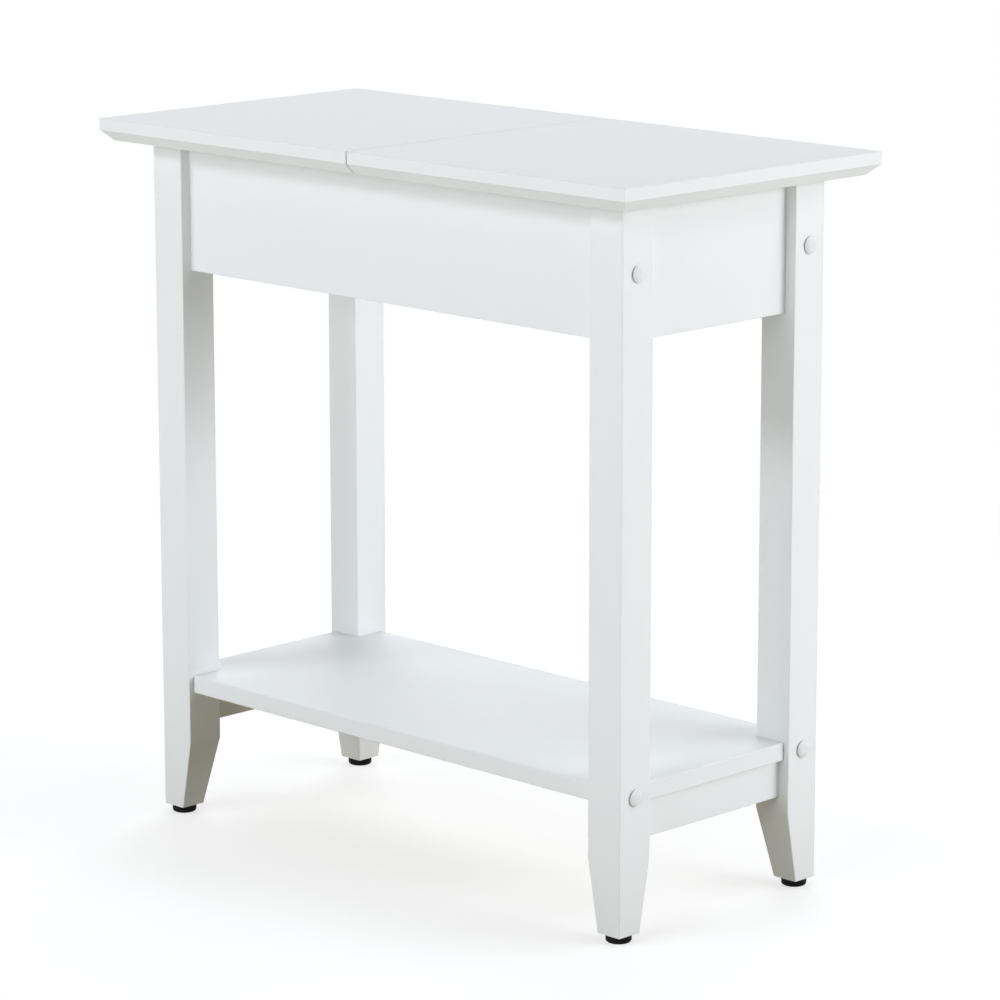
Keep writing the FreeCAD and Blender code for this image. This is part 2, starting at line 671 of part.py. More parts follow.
# ---------------------------------------------------------------- bolts, nuts and caps
def make_bolts(name, level):
    """Socket-head connector bolts through the legs, one at each corner."""
    body = new_body(name, level)
    shank, head = "(bolt_diameter / 2)", "(bolt_head_diameter / 2)"
    bolt = turned(body, "bolt", "x", (BOLT_HEAD_X, APRON_MID_Y, "0"), [
        (negative("bolt_length"), "0"),
        ("bolt_head_height", "0"),
        ("bolt_head_height", head),
        ("0", head),
        ("0", shank),
        (negative("bolt_length"), shank),
    ])
    corner = "(bolt_socket / sqrt(3))"
    hexagon = [(f"({APRON_MID_Y} + {corner} * cos({turn} deg))", f"({corner} * sin({turn} deg))")
               for turn in range(0, FULL_TURN, HEX_STEP)]
    socket = pocket(body, "socket", "x", f"({BOLT_HEAD_X} + bolt_head_height - bolt_socket_depth)",
                    "bolt_socket_depth", hexagon)
    mirrored(body, [bolt, socket], ALL_QUARTERS)


def make_barrel_nuts(name, level, axis):
    """Cross dowels that the connector bolts screw into."""
    body = new_body(name, level)
    if axis == "y":
        start, centre = f"({APRON_MID_Y} - nut_length / 2)", (NUT_X, "0")
    else:
        start, centre = negative("(nut_length / 2)"), (NUT_X, APRON_MID_Y)
    nut = round_pad(body, "nut", axis, start, "nut_length", *centre, "nut_diameter")
    thread = bore(body, "thread", "x", f"({NUT_X} - nut_diameter / 2)", "nut_diameter",
                  [(APRON_MID_Y, "0")], "(bolt_diameter + 2 * thread_clearance)")
    mirrored(body, [nut, thread], ALL_QUARTERS)


def make_bolt_caps():
    """Domed press-in caps over every bolt head, on the ends of the table."""
    body = new_body("bolt_caps", "0")
    rim, top = "(cap_diameter / 2)", "(cap_rim + cap_crown)"
    crown_radius = f"(({rim} * {rim} + cap_crown * cap_crown) / (2 * cap_crown))"
    stem = "(bolt_well_diameter / 2 - cap_stem_clearance)"
    stem_end = "(bolt_head_height + cap_stem_gap - bolt_well_depth)"
    caps = [turned(body, f"{name}_cap", "x", (LEG_X, APRON_MID_Y, level), [
        (stem_end, "0"),
        (top, "0", crown_radius),
        ("cap_rim", rim),
        ("0", rim),
        ("0", stem),
        (stem_end, stem),
    ]) for name, level in (("apron", APRON_MID), ("shelf", SHELF_MID))]
    mirrored(body, caps, ALL_QUARTERS)


# ---------------------------------------------------------------- dowels
def dowel(body, name, axis, origin, back, ahead, diameter):
    """A fluteless dowel with bevelled ends, from a distance behind its origin to one ahead."""
    radius = f"({diameter} / 2)"
    tip = f"({radius} - dowel_bevel)"
    return turned(body, name, axis, origin, [
        (negative(back), "0"),
        (ahead, "0"),
        (ahead, tip),
        (f"({ahead} - dowel_bevel)", radius),
        (f"(dowel_bevel - {back})", radius),
        (negative(back), tip),
    ])


def make_frame_dowels(name, axis, level, spacing, centre):
    """Dowels in pairs, one above the other, where a rail meets each leg."""
    body = new_body(name, level)
    half = "(dowel_length / 2)"
    dowels = [dowel(body, f"dowel_{order}", axis, (*centre, height), half, half, "dowel_diameter")
              for order, height in zip(("low", "high"), pair("0", spacing))]
    mirrored(body, dowels, ALL_QUARTERS)


def make_rail_dowels():
    body = new_body("rail_dowels", f"({TOP_UNDERSIDE} - rail_height / 2)")
    dowels = [dowel(body, f"dowel_{order}", "y", (RAIL_X, APRON_INNER_Y, height),
                    RAIL_DOWEL_IN_RAIL, "rail_dowel_in_apron", "rail_dowel_diameter")
              for order, height in zip(("low", "high"), pair("0", "rail_dowel_spacing"))]
    mirrored(body, dowels, ACROSS_WIDTH)


# ---------------------------------------------------------------- screws
def upright_screw(body, name, x, y, length):
    """A pan-head screw that points up, with the underside of its head at the body's base."""
    shank, head = "(screw_diameter / 2)", "(screw_head_diameter / 2)"
    return turned(body, name, "z", (x, y, "0"), [
        ("0", negative("screw_head_height")),
        (head, negative("screw_head_height")),
        (head, "0"),
        (shank, "0"),
        (shank, f"({length} - screw_tip_length)"),
        ("0", length),
    ])


def make_cleat_screws():
    body = new_body("cleat_screws", CLEAT_BASE)
    screws = [upright_screw(body, f"screw_{order}", negative(x), CLEAT_MID_Y, "(cleat_size + screw_grip)")
              for order, x in zip(("inner", "outer"), pair(CLEAT_MID_X, "cleat_screw_spacing"))]
    mirrored(body, screws, ACROSS_WIDTH)


def make_cleat_side_screws():
    body = new_body("cleat_side_screws", f"({TOP_UNDERSIDE} - cleat_size / 2)")
    shank, head, length = "(screw_diameter / 2)", "(screw_head_diameter / 2)", "(cleat_size + screw_grip)"
    screws = [turned(body, f"screw_{order}", "y",
                     (negative(x), f"({APRON_INNER_Y} - cleat_size)", "0"), [
                         (negative("screw_head_height"), "0"),
                         (length, "0"),
                         (f"({length} - screw_tip_length)", shank),
                         ("0", shank),
                         ("0", head),
                         (negative("screw_head_height"), head),
                     ])
              for order, x in zip(("inner", "outer"), pair(CLEAT_MID_X, "cleat_side_screw_spacing"))]
    mirrored(body, screws, ACROSS_WIDTH)


def make_rail_screws():
    body = new_body("rail_screws", f"({RAIL_BASE} + rail_screw_head_depth)")
    screw = upright_screw(body, "screw", RAIL_SCREW_X, "(rail_screw_spacing / 2)",
                          "(rail_height - rail_screw_head_depth + screw_grip)")
    mirrored(body, [screw], ACROSS_WIDTH)


def make_shelf_screws():
    body = new_body("shelf_screws", f"({STRETCHER_BASE} + shelf_screw_head_depth)")
    screw = upright_screw(body, "screw", STRETCHER_MID_X, "(shelf_screw_spacing / 2)",
                          "(stretcher_height - shelf_screw_head_depth + shelf_screw_grip)")
    mirrored(body, [screw], ALL_QUARTERS)


# ---------------------------------------------------------------- foot glides
def make_foot_glides():
    """Round plastic glides with a rounded sole and a well for the nail's head."""
    body = new_body("foot_glides", "0")
    rim, hole = "(foot_diameter / 2)", "(nail_diameter / 2 + nail_clearance)"
    well = "(nail_head_diameter / 2 + screw_well_clearance)"
    glide = turned(body, "glide", "z", (FOOT_X, FOOT_Y, "0"), [
        (hole, "nail_head_depth"),
        (well, "nail_head_depth"),
        (well, "0"),
        (f"({rim} - foot_rounding)", "0", "foot_rounding"),
        (rim, "foot_rounding"),
        (rim, "foot_height"),
        (hole, "foot_height"),
    ])
    mirrored(body, [glide], ALL_QUARTERS)


def make_glide_nails():
    body = new_body("glide_nails", "nail_head_depth")
    shank, head = "(nail_diameter / 2)", "(nail_head_diameter / 2)"
    nail = turned(body, "nail", "z", (FOOT_X, FOOT_Y, "0"), [
        ("0", negative("nail_head_height")),
        (head, negative("nail_head_height")),
        (head, "0"),
        (shank, "0"),
        (shank, "(nail_length - nail_tip_length)"),
        ("0", "nail_length"),
    ])
    mirrored(body, [nail], ALL_QUARTERS)


# ---------------------------------------------------------------- concealed barrel hinges
# Two brass barrels face each other across the seam. The fixed one has two ears and the
# lid's one a tongue; an outer link hangs from each ear's pin, an inner link from each side
# of the tongue's, and a rivet joins them below. The line that the lid turns about, both
# pins and the rivet are the corners of a rhombus, so that the lid turns about a line just
# above the seam, where a knuckle would stand proud.
def make_barrel(name, side):
    """One barrel of each hinge, without the ears or the tongue."""
    body = new_body(name, BARREL_Z)
    near, far = "(seam_gap / 2)", "(seam_gap / 2 + barrel_length)"
    low, _ = span(side, near, far)
    cylinder = round_pad(body, "cylinder", "x", f"(seam_shift + {low})", "barrel_length",
                         HINGE_Y, "0", "barrel_diameter")
    half_mouth = EAR_Y if side < 0 else f"({EAR_OUTER_Y} + link_gap)"
    mouth_low, mouth_high = span(side, near, f"({near} + barrel_mouth_depth)")
    radius = "(barrel_diameter / 2)"
    mouth = pocket(body, "mouth", "z", negative(radius), "barrel_diameter",
                   rectangle(f"(seam_shift + {mouth_low})", f"(seam_shift + {mouth_high})",
                             f"({HINGE_Y} - {half_mouth})", f"({HINGE_Y} + {half_mouth})"))
    return body, [cylinder, mouth]


def lug(body, name, start, thickness, root, side):
    """A flat lug with a round end, from the barrel to the pin that it carries."""
    half = "(link_width / 2)"
    pin_x, pin_z = f"(seam_shift + {times(side, 'link_pin_reach')})", above(BARREL_Z, PIN_Z)
    low, high = f"({pin_z} - {half})", f"({pin_z} + {half})"
    outline = [(root, low), (pin_x, low, HALF_CIRCLE), (pin_x, high), (root, high)]
    if side < 0:
        outline = [(root, high), (pin_x, high, HALF_CIRCLE), (pin_x, low), (root, low)]
    hole = (pin_x, pin_z, "(link_pin_diameter + 2 * link_pin_clearance)")
    return pad(body, name, "y", start, thickness, outline, [hole])


def make_fork_barrels():
    """The fixed barrels, each with an ear on both sides of its mouth."""
    body, features = make_barrel("hinge_fork_barrels", -1)
    root = "(seam_shift - seam_gap / 2 - link_width)"
    for order, sign in (("front", -1), ("back", 1)):
        low, _ = span(sign, EAR_Y, EAR_OUTER_Y)
        features.append(lug(body, f"{order}_ear", f"({HINGE_Y} + {low})", "link_thickness", root, 1))
    mirrored(body, features, ACROSS_WIDTH)


def make_tongue_barrels():
    """The lid's barrels, each with a tongue in the middle of its mouth."""
    body, features = make_barrel("hinge_tongue_barrels", 1)
    root = "(seam_shift + seam_gap / 2 + barrel_mouth_depth + link_width)"
    features.append(lug(body, "tongue", f"({HINGE_Y} - tongue_thickness / 2)", "tongue_thickness",
                        root, -1))
    mirrored(body, features, ACROSS_WIDTH)


def make_links(name, start, side):
    """The links that hang from the pins on one side: a pair in each hinge."""
    body = new_body(name, CROSS_Z)
    half = "(link_width / 2)"
    length = "sqrt(link_pin_reach * link_pin_reach + link_pin_drop * link_pin_drop)"
    across = f"({half} * link_pin_drop / {length})"
    along = f"({half} * link_pin_reach / {length})"
    pin = (times(side, "link_pin_reach"), "link_pin_drop")
    outline = [
        (f"(seam_shift + {across})", times(-side, along)),
        (f"(seam_shift + {pin[0]} + {across})", f"({pin[1]} + {times(-side, along)})", HALF_CIRCLE),
        (f"(seam_shift + {pin[0]} - {across})", f"({pin[1]} + {times(side, along)})"),
        (f"(seam_shift - {across})", times(side, along), HALF_CIRCLE),
    ]
    diameter = "(link_pin_diameter + 2 * link_pin_clearance)"
    holes = [("seam_shift", "0", diameter), (f"(seam_shift + {pin[0]})", pin[1], diameter)]
    links = []
    for order, sign in (("front", -1), ("back", 1)):
        low, _ = span(sign, start, f"({start} + link_thickness)")
        links.append(pad(body, f"{order}_link", "y", f"({HINGE_Y} + {low})", "link_thickness",
                         outline, holes))
    mirrored(body, links, ACROSS_WIDTH)


def make_pins(name, base, x, stretches):
    """Pins across the hinge, one for each stretch of the distance from its middle."""
    body = new_body(name, base)
    pins = [round_pad(body, f"pin_{order}", "y", f"({HINGE_Y} + {low})", f"({high} - {low})",
                      x, "0", "link_pin_diameter")
            for order, (low, high) in enumerate(stretches, start=1)]
    mirrored(body, pins, ACROSS_WIDTH)


def make_hinge_pins():
    ear_side = [span(side, OUTER_LINK_Y, EAR_OUTER_Y) for side in (-1, 1)]
    rivet_side = [span(side, INNER_LINK_Y, f"({OUTER_LINK_Y} + link_thickness)") for side in (-1, 1)]
    tongue_reach = f"({INNER_LINK_Y} + link_thickness)"
    make_pins("hinge_ear_pins", PIN_Z, "(seam_shift + link_pin_reach)", ear_side)
    make_pins("hinge_tongue_pins", PIN_Z, "(seam_shift - link_pin_reach)",
              [(negative(tongue_reach), tongue_reach)])
    make_pins("hinge_cross_rivets", CROSS_Z, "seam_shift", rivet_side)


# ---------------------------------------------------------------- build every sub-part
drill_fixed_panel(make_top_panel("fixed_top_panel", -1))
make_top_panel("flip_lid", 1)
for end, side_x in (("left", -1), ("right", 1)):
    make_leg(f"leg_front_{end}", side_x, -1)
    make_leg(f"leg_back_{end}", side_x, 1)
    make_end_apron(f"{end}_apron", side_x)
    make_side_stretcher(f"{end}_stretcher", side_x)
for edge, side_y in (("front", -1), ("back", 1)):
    make_long_apron(f"{edge}_apron", side_y)
    make_cleat(f"{edge}_cleat", side_y)
make_compartment_bottom()
make_centre_rail()
make_shelf()
make_bolts("apron_bolts", APRON_MID)
make_bolts("shelf_bolts", SHELF_MID)
make_barrel_nuts("apron_nuts", APRON_MID, "y")
make_barrel_nuts("shelf_nuts", SHELF_MID, "z")
make_bolt_caps()
make_frame_dowels("apron_dowels", "x", APRON_MID, "apron_dowel_spacing", (LEG_INNER_X, APRON_MID_Y))
make_frame_dowels("end_apron_dowels", "y", APRON_MID, "end_dowel_spacing", (APRON_MID_X, LEG_INNER_Y))
make_frame_dowels("stretcher_dowels", "y", STRETCHER_MID, "stretcher_dowel_spacing",
                  (STRETCHER_MID_X, LEG_INNER_Y))
make_rail_dowels()
make_cleat_screws()
make_cleat_side_screws()
make_rail_screws()
make_shelf_screws()
make_foot_glides()
make_glide_nails()
make_fork_barrels()
make_tongue_barrels()
make_links("hinge_outer_links", OUTER_LINK_Y, 1)
make_links("hinge_inner_links", INNER_LINK_Y, -1)
make_hinge_pins()
document.recompute()

# ---------------------------------------------------------------- check and write
for item in document.Objects:
    if "Invalid" in item.State or "Error" in item.State:
        raise RuntimeError(f"{item.Label} did not recompute: {item.State}")

bodies = [item for item in document.Objects if item.TypeId == "PartDesign::Body"]
for body in bodies:
    if body.Shape.isNull() or not body.Shape.isValid():
        raise RuntimeError(f"{body.Label} has no valid shape")

os.makedirs("parts", exist_ok=True)
for body in bodies:
    body.Shape.exportStep(f"parts/{body.Label}.step")
print(f"{len(bodies)} sub-parts written")
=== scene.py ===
# %% [markdown]
# # A white end table with a flip-over half top
#
# The real table is a small, plain piece of white-lacquered furniture. It stands on four tapered legs, has a
# deep rail round the top, an open shelf near the floor, and a top that is sawn in two across its middle. The
# left half is fixed. The right half is a lid on two hidden hinges, and it turns over onto the left half to
# open a shallow box for a book or a remote control.
#
# Its solids were drawn in a CAD program and packed as a frame. This lesson dresses them: it adds the paint,
# the plated steel, the brass and the plastic, builds the small fittings whose detail the solids leave out,
# and sets up the camera and the lamps. The solids themselves are never moved.

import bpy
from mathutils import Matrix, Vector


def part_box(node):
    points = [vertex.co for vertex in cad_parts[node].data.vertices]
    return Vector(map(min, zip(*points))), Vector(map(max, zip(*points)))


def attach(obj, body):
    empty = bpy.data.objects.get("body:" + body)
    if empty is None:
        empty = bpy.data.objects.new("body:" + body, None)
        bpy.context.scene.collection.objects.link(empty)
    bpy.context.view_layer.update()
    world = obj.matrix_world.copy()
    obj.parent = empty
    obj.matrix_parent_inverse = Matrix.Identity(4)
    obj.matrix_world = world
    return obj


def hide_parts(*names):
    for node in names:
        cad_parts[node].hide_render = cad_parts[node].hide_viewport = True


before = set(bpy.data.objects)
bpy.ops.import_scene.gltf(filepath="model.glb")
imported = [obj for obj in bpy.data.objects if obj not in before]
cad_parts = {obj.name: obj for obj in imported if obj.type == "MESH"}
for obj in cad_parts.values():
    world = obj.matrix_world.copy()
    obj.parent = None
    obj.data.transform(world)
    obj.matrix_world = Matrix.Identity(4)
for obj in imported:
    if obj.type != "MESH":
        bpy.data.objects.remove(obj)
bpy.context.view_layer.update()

# %% [markdown]
# ## Blender's own modules
#
# `bpy` holds the scene, `bmesh` builds meshes face by face, and `mathutils` has vectors and matrices. All
# lengths in the scene are in metres, so a value in millimetres is multiplied by `MM`.

# %% Modules and units
import math

import bmesh
import bpy
from mathutils import Matrix, Vector

MM = 0.001
scene = bpy.context.scene
scene.view_settings.view_transform = "Standard"
print("view transform:", scene.view_settings.view_transform)

# %% [markdown]
# ## The camera
#
# Furniture is often shown from one corner, from far away and with a long lens, because that keeps its edges
# nearly parallel. The camera stands 3.6 metres off, less than half a metre above the table top, and turned
# 45 degrees, so that the long side and the end are seen equally. It has no shift and no depth of field, so
# the same camera also works when it is moved round the table. Its place is in metres, its turn in degrees,
# and the lens and the sensor are in millimetres.

# %% Place the camera
CAMERA_SPOT = (2.463, -2.462, 1.060)
CAMERA_TURN = (77.72, 0.05, 44.72)
LENS_LENGTH = 153.12
SENSOR_WIDTH = 36
FARTHEST_SEEN = 60

lens = bpy.data.cameras.new("photographer")
lens.sensor_width = SENSOR_WIDTH
lens.lens = LENS_LENGTH
lens.clip_end = FARTHEST_SEEN
lens.dof.use_dof = False
camera = bpy.data.objects.new("photographer", lens)
camera.location = CAMERA_SPOT
camera.rotation_euler = [math.radians(angle) for angle in CAMERA_TURN]
scene.collection.objects.link(camera)
scene.camera = camera
print("camera distance:", round(camera.location.length, 2), "m")

# %% [markdown]
# ## Writing shader sums in Python
#
# A material is a net of nodes, and every sum in it is a Math node. Built by hand, one line of arithmetic
# takes many lines of node code. This small class wraps an output socket and gives it Python's own
# operators, so `1 - mask * 0.4` adds the Math nodes by itself. Its `node` method makes every other node: it
# sets the node's settings first, because a ramp's stops or a node's mode decide what its sockets mean, and
# then fills the sockets with numbers or with other signals.

# %% A class for signals
class Signal:
    """An output socket that can be used in sums. Without a socket, it only starts a net of nodes."""

    def __init__(self, tree, socket=None):
        self.tree = tree
        self.socket = socket

    def node(self, kind, settings, sockets, output=0):
        """Adds a node with those settings and sockets, and gives back one of its outputs."""
        made = self.tree.nodes.new("ShaderNode" + kind)
        for name, setting in settings.items():
            if name == "stops":
                set_stops(made.color_ramp.elements, setting)
            else:
                setattr(made, name, setting)
        for name, source in sockets.items():
            if isinstance(source, Signal):
                self.tree.links.new(source.socket, made.inputs[name])
            else:
                made.inputs[name].default_value = source
        return Signal(self.tree, made.outputs[output]) if made.outputs else None

    def sum(self, operation, first, second):
        """A Math node for two signals or numbers."""
        return self.node("Math", {"operation": operation}, {0: first, 1: second})

    def __add__(self, other):
        return self.sum("ADD", self, other)

    def __sub__(self, other):
        return self.sum("SUBTRACT", self, other)

    def __rsub__(self, other):
        return self.sum("SUBTRACT", other, self)

    def __mul__(self, other):
        return self.sum("MULTIPLY", self, other)

    __radd__ = __add__
    __rmul__ = __mul__


def set_stops(elements, stops):
    """Gives a colour ramp its stops, which are pairs of a place from 0 to 1 and a colour."""
    for place, _ in stops[len(elements):]:
        elements.new(place)
    for element, (place, colour) in zip(elements, stops):
        element.position = place
        element.color = (*colour, 1)


print("a signal can be added to, taken away and multiplied")

# %% [markdown]
# ## Patterns that every finish shares
#
# Paint, plating and plastic look different, but their faults come from the same few patterns: clouds of
# uneven colour, a fine grain that runs one way, and edges that hands and shoes have worn. All the patterns
# are measured in the table's own metres, so they keep the right size on a small screw and on the large top.
# The edge mask compares each point's true direction with a slightly rounded one. The two only disagree
# close to an edge, and six rays at each point are enough to find out.
#
# Blender's Mix node holds sockets for numbers, for vectors and for colours side by side, and several of them
# share a name. So the ones for colours are found by their places.

# %% Helpers for patterns
MIX_FACTOR = 0
MIX_COLOURS = (6, 7)
MIX_RESULT = 2
EDGE_RAYS = 6


def new_material(name):
    """An empty material and a signal to start its nodes from."""
    material = bpy.data.materials.new(name)
    material.use_nodes = True
    material.node_tree.nodes.clear()
    return material, Signal(material.node_tree)


def place_in_metres(start):
    """Where a point lies in the table's own frame."""
    return start.node("TexCoord", {}, {}, "Object")


def noise(start, per_metre, detail):
    """Soft random spots from 0 to 1: so many in a metre, given for x, y and z."""
    place = start.node("VectorMath", {"operation": "MULTIPLY"}, {0: place_in_metres(start), 1: per_metre})
    return start.node("TexNoise", {}, {"Vector": place, "Scale": 1.0, "Detail": detail})


def alike(count):
    """The same count of spots in every direction, which makes them round."""
    return (count, count, count)


def along(grain, lengthways, across):
    """Few spots in a metre along the grain and many across it, which makes long fibres."""
    return [lengthways if axis == grain else across for axis in "xyz"]


def between(start, signal, low, high):
    """0 where the signal is below low, 1 where it is above high, and a smooth rise between."""
    return start.node("MapRange", {"interpolation_type": "SMOOTHSTEP"},
                      {"Value": signal, "From Min": low, "From Max": high})


def mixed(start, mask, first, second):
    """The first colour where the mask is 0, and the second where it is 1."""
    sockets = {MIX_FACTOR: mask}
    for place, colour in zip(MIX_COLOURS, (first, second)):
        sockets[place] = colour if isinstance(colour, Signal) else (*colour, 1)
    return start.node("Mix", {"data_type": "RGBA"}, sockets, output=MIX_RESULT)


def worn_edges(start, radius, low, high):
    """A mask of the edges, and the rounded direction that made it."""
    rounded = start.node("Bevel", {"samples": EDGE_RAYS}, {"Radius": radius})
    true = start.node("NewGeometry", {}, {}, "True Normal")
    match = start.node("VectorMath", {"operation": "DOT_PRODUCT"}, {0: rounded, 1: true}, "Value")
    return between(start, 1 - match, low, high), rounded


def bumped(start, height, depth, normal=None):
    """Bends the light as if the surface rose by that depth where the height is 1."""
    sockets = {"Height": height, "Distance": depth, "Strength": 1.0}
    if normal:
        sockets["Normal"] = normal
    return start.node("Bump", {}, sockets)


def surface(start, sockets):
    """Gives the material one Principled shader with those sockets."""
    shader = start.node("BsdfPrincipled", {}, sockets)
    start.node("OutputMaterial", {}, {"Surface": shader})


print("patterns: noise, bands between two levels, worn edges and bumps")

# %% [markdown]
# ## White lacquer
#
# The board and the legs are sprayed with several thin coats of satin white. Up close such a film isn't
# flat: it dries with a shallow ripple called orange peel, and the grain of the wood below still shows as
# the faintest of lines. The white is a little cool and never quite even. Along the edges a thin, warm,
# darker line is painted into the colour, most of all on the upright legs. It is partly the ground coat that
# shows through where the film is thinnest, and partly painted shade: it keeps the rounded arrises from
# catching the lamps, and darkens the lines where parts meet. The boards' edges are already rounded, so the
# mask for them looks inwards: rays go into the board, and near an edge some of them soon leave it again.
# The grain has to follow each board, so the function takes the direction that the grain runs in, and three
# materials come from it.

# %% White lacquer
LACQUER = (0.803, 0.826, 0.828)
LACQUER_COOL = (0.786, 0.814, 0.818)
# The warm, darker line along the edges: partly thin film, partly painted shade on the arrises and joints.
LACQUER_EDGE_AND_SHADE = (0.640, 0.575, 0.540)
EDGE_SHOWS = {"x": 0.15, "y": 0.20, "z": 0.50}
EDGE_LINE_DEPTH = 1.5 * MM
EDGE_LINE_START = 0.12
EDGE_LINE_FULL = 0.45
PEEL_SHARE = 0.8
GRAIN_SHARE = 0.2


def white_lacquer(grain):
    """Satin white over wood whose grain runs along x, y or z."""
    material, start = new_material("white_lacquer_" + grain)
    lines = noise(start, along(grain, lengthways=9, across=420), detail=3.0)
    clouds = noise(start, alike(14), detail=3.0)
    peel = noise(start, alike(480), detail=1.0)
    rubbed = noise(start, alike(60), detail=4.0)
    inward = start.node("AmbientOcclusion", {"inside": True, "only_local": True, "samples": EDGE_RAYS},
                        {"Distance": EDGE_LINE_DEPTH}, "AO")
    edge = between(start, 1 - inward, EDGE_LINE_START, EDGE_LINE_FULL)
    colour = mixed(start, clouds, LACQUER, LACQUER_COOL)
    # Painted shade and thin film: a warm, darker line along every edge, strongest on the upright legs.
    colour = mixed(start, edge * (0.5 + rubbed * 0.5) * EDGE_SHOWS[grain], colour, LACQUER_EDGE_AND_SHADE)
    film = peel * PEEL_SHARE + lines * GRAIN_SHARE
    surface(start, {
        "Base Color": colour,
        "Roughness": 0.36 + rubbed * 0.10 + edge * 0.08,
        "Normal": bumped(start, film, depth=0.012 * MM),
        "Specular IOR Level": 0.45,
    })
    return material


lacquers = {grain: white_lacquer(grain) for grain in "xyz"}
print("lacquers:", ", ".join(material.name for material in lacquers.values()))

# %% [markdown]
# ## White moulded plastic
#
# The heads of the bolts at the ends of the table are hidden by small domed caps that are pressed into their
# holes. They are moulded from a white plastic that is smoother than the paint round it, so they catch a
# small highlight. Moulded parts have a fine spark-eroded texture from the tool, which the bump imitates.

# %% White plastic
CAP_WHITE = (0.735, 0.752, 0.755)
CAP_WHITE_PALER = (0.755, 0.775, 0.780)
CAP_EDGE = (0.62, 0.63, 0.63)
CAP_EDGE_SHOWS = 0.25


def white_plastic():
    """Smooth moulded caps, a touch greyer than the paint."""
    material, start = new_material("white_plastic")
    tool = noise(start, alike(1500), detail=2.0)
    clouds = noise(start, alike(90), detail=2.0)
    edge, _ = worn_edges(start, radius=0.5 * MM, low=0.05, high=0.5)
    colour = mixed(start, clouds, CAP_WHITE, CAP_WHITE_PALER)
    surface(start, {
        "Base Color": mixed(start, edge * CAP_EDGE_SHOWS, colour, CAP_EDGE),
        "Roughness": 0.22 + tool * 0.08,
        "Specular IOR Level": 0.50,
        "Normal": bumped(start, tool, depth=0.006 * MM),
    })
    return material


caps_plastic = white_plastic()
print("caps:", caps_plastic.name)

# %% [markdown]
# ## Bright zinc plating
#
# Bolts, nuts and screws are bought in and plated with bright zinc. The plating is metallic, a little blue,
# and lies over the fine marks of the machine that turned the part. It dulls in small patches where it was
# touched. Metal has no colour of its own beyond its reflection, so metallic stays at 1 and the change is all
# in the tint, in the roughness and in a shallow bump.

# %% Zinc-plated steel
ZINC_BRIGHT = (0.66, 0.68, 0.71)
ZINC_DULL = (0.52, 0.53, 0.53)
ZINC_EDGE = (0.80, 0.81, 0.82)
ZINC_EDGE_SHOWS = 0.6


def zinc_plated_steel():
    """Turned steel under bright zinc, with dull patches."""
    material, start = new_material("zinc_plated_steel")
    marks = noise(start, (700, 700, 2600), detail=2.0)
    patches = between(start, noise(start, alike(240), detail=4.0), low=0.40, high=0.68)
    edge, rounded = worn_edges(start, radius=0.25 * MM, low=0.05, high=0.5)
    colour = mixed(start, patches, ZINC_BRIGHT, ZINC_DULL)
    surface(start, {
        "Base Color": mixed(start, edge * ZINC_EDGE_SHOWS, colour, ZINC_EDGE),
        "Metallic": 1.0,
        "Roughness": 0.24 + patches * 0.22,
        "Normal": bumped(start, marks, depth=0.010 * MM, normal=rounded),
    })
    return material


zinc = zinc_plated_steel()
print("fasteners:", zinc.name)

# %% [markdown]
# ## Brass
#
# The hidden hinges are brass: two turned barrels that sit in holes in the edges of the panels, and flat
# stamped links that fold between them. Turned and stamped brass shows fine parallel scratches, browner
# tarnish in the places that nothing rubs, and bright edges where the links slide past each other.

# %% Turned and stamped brass
BRASS_BRIGHT = (0.80, 0.62, 0.29)
BRASS_TARNISHED = (0.50, 0.34, 0.14)
BRASS_EDGE = (0.93, 0.78, 0.44)
BRASS_EDGE_SHOWS = 0.7


def hinge_brass():
    """Bright brass with brown tarnish away from its edges."""
    material, start = new_material("hinge_brass")
    scratches = noise(start, (260, 4200, 900), detail=2.0)
    tarnish = between(start, noise(start, alike(190), detail=5.0), low=0.42, high=0.74)
    edge, rounded = worn_edges(start, radius=0.3 * MM, low=0.05, high=0.5)
    colour = mixed(start, tarnish, BRASS_BRIGHT, BRASS_TARNISHED)
    surface(start, {
        "Base Color": mixed(start, edge * BRASS_EDGE_SHOWS, colour, BRASS_EDGE),
        "Metallic": 1.0,
        "Roughness": 0.22 + tarnish * 0.25 + scratches * 0.08,
        "Normal": bumped(start, scratches, depth=0.008 * MM, normal=rounded),
    })
    return material


brass = hinge_brass()
print("hinges:", brass.name)

# %% [markdown]
# ## Black glides
#
# Each foot stands on a round black plastic glide. The plastic is matt and deep black, with a pebbled
# texture, and its rim is scuffed to a dark grey by the floor.

# %% Black plastic
GLIDE_BLACK = (0.004, 0.004, 0.004)
GLIDE_SCUFFED = (0.040, 0.040, 0.037)


def black_plastic():
    """Matt pebbled plastic with a scuffed rim."""
    material, start = new_material("black_plastic")
    pebbles = noise(start, alike(900), detail=2.0)
    scuffs = noise(start, (300, 300, 900), detail=4.0)
    edge, _ = worn_edges(start, radius=0.8 * MM, low=0.03, high=0.4)
    surface(start, {
        "Base Color": mixed(start, edge * scuffs, GLIDE_BLACK, GLIDE_SCUFFED),
        "Roughness": 0.50 + pebbles * 0.15,
        "Normal": bumped(start, pebbles, depth=0.03 * MM),
        "Specular IOR Level": 0.1,
    })
    return material


glide_plastic = black_plastic()
print("glides:", glide_plastic.name)

# %% [markdown]
# ## Bare beech
#
# The dowels are plain beech rod. Nobody sees them in a finished table, but they show when the model is
# taken apart. Beech is a warm, even wood with short dark flecks along its grain. The flecks are a noise that
# is squeezed in two directions and drawn out in the third.

# %% Beech
BEECH_PALE = (0.66, 0.46, 0.29)
BEECH_BROWN = (0.52, 0.34, 0.20)
BEECH_FLECK = (0.32, 0.18, 0.10)
FLECK_SHOWS = 0.6


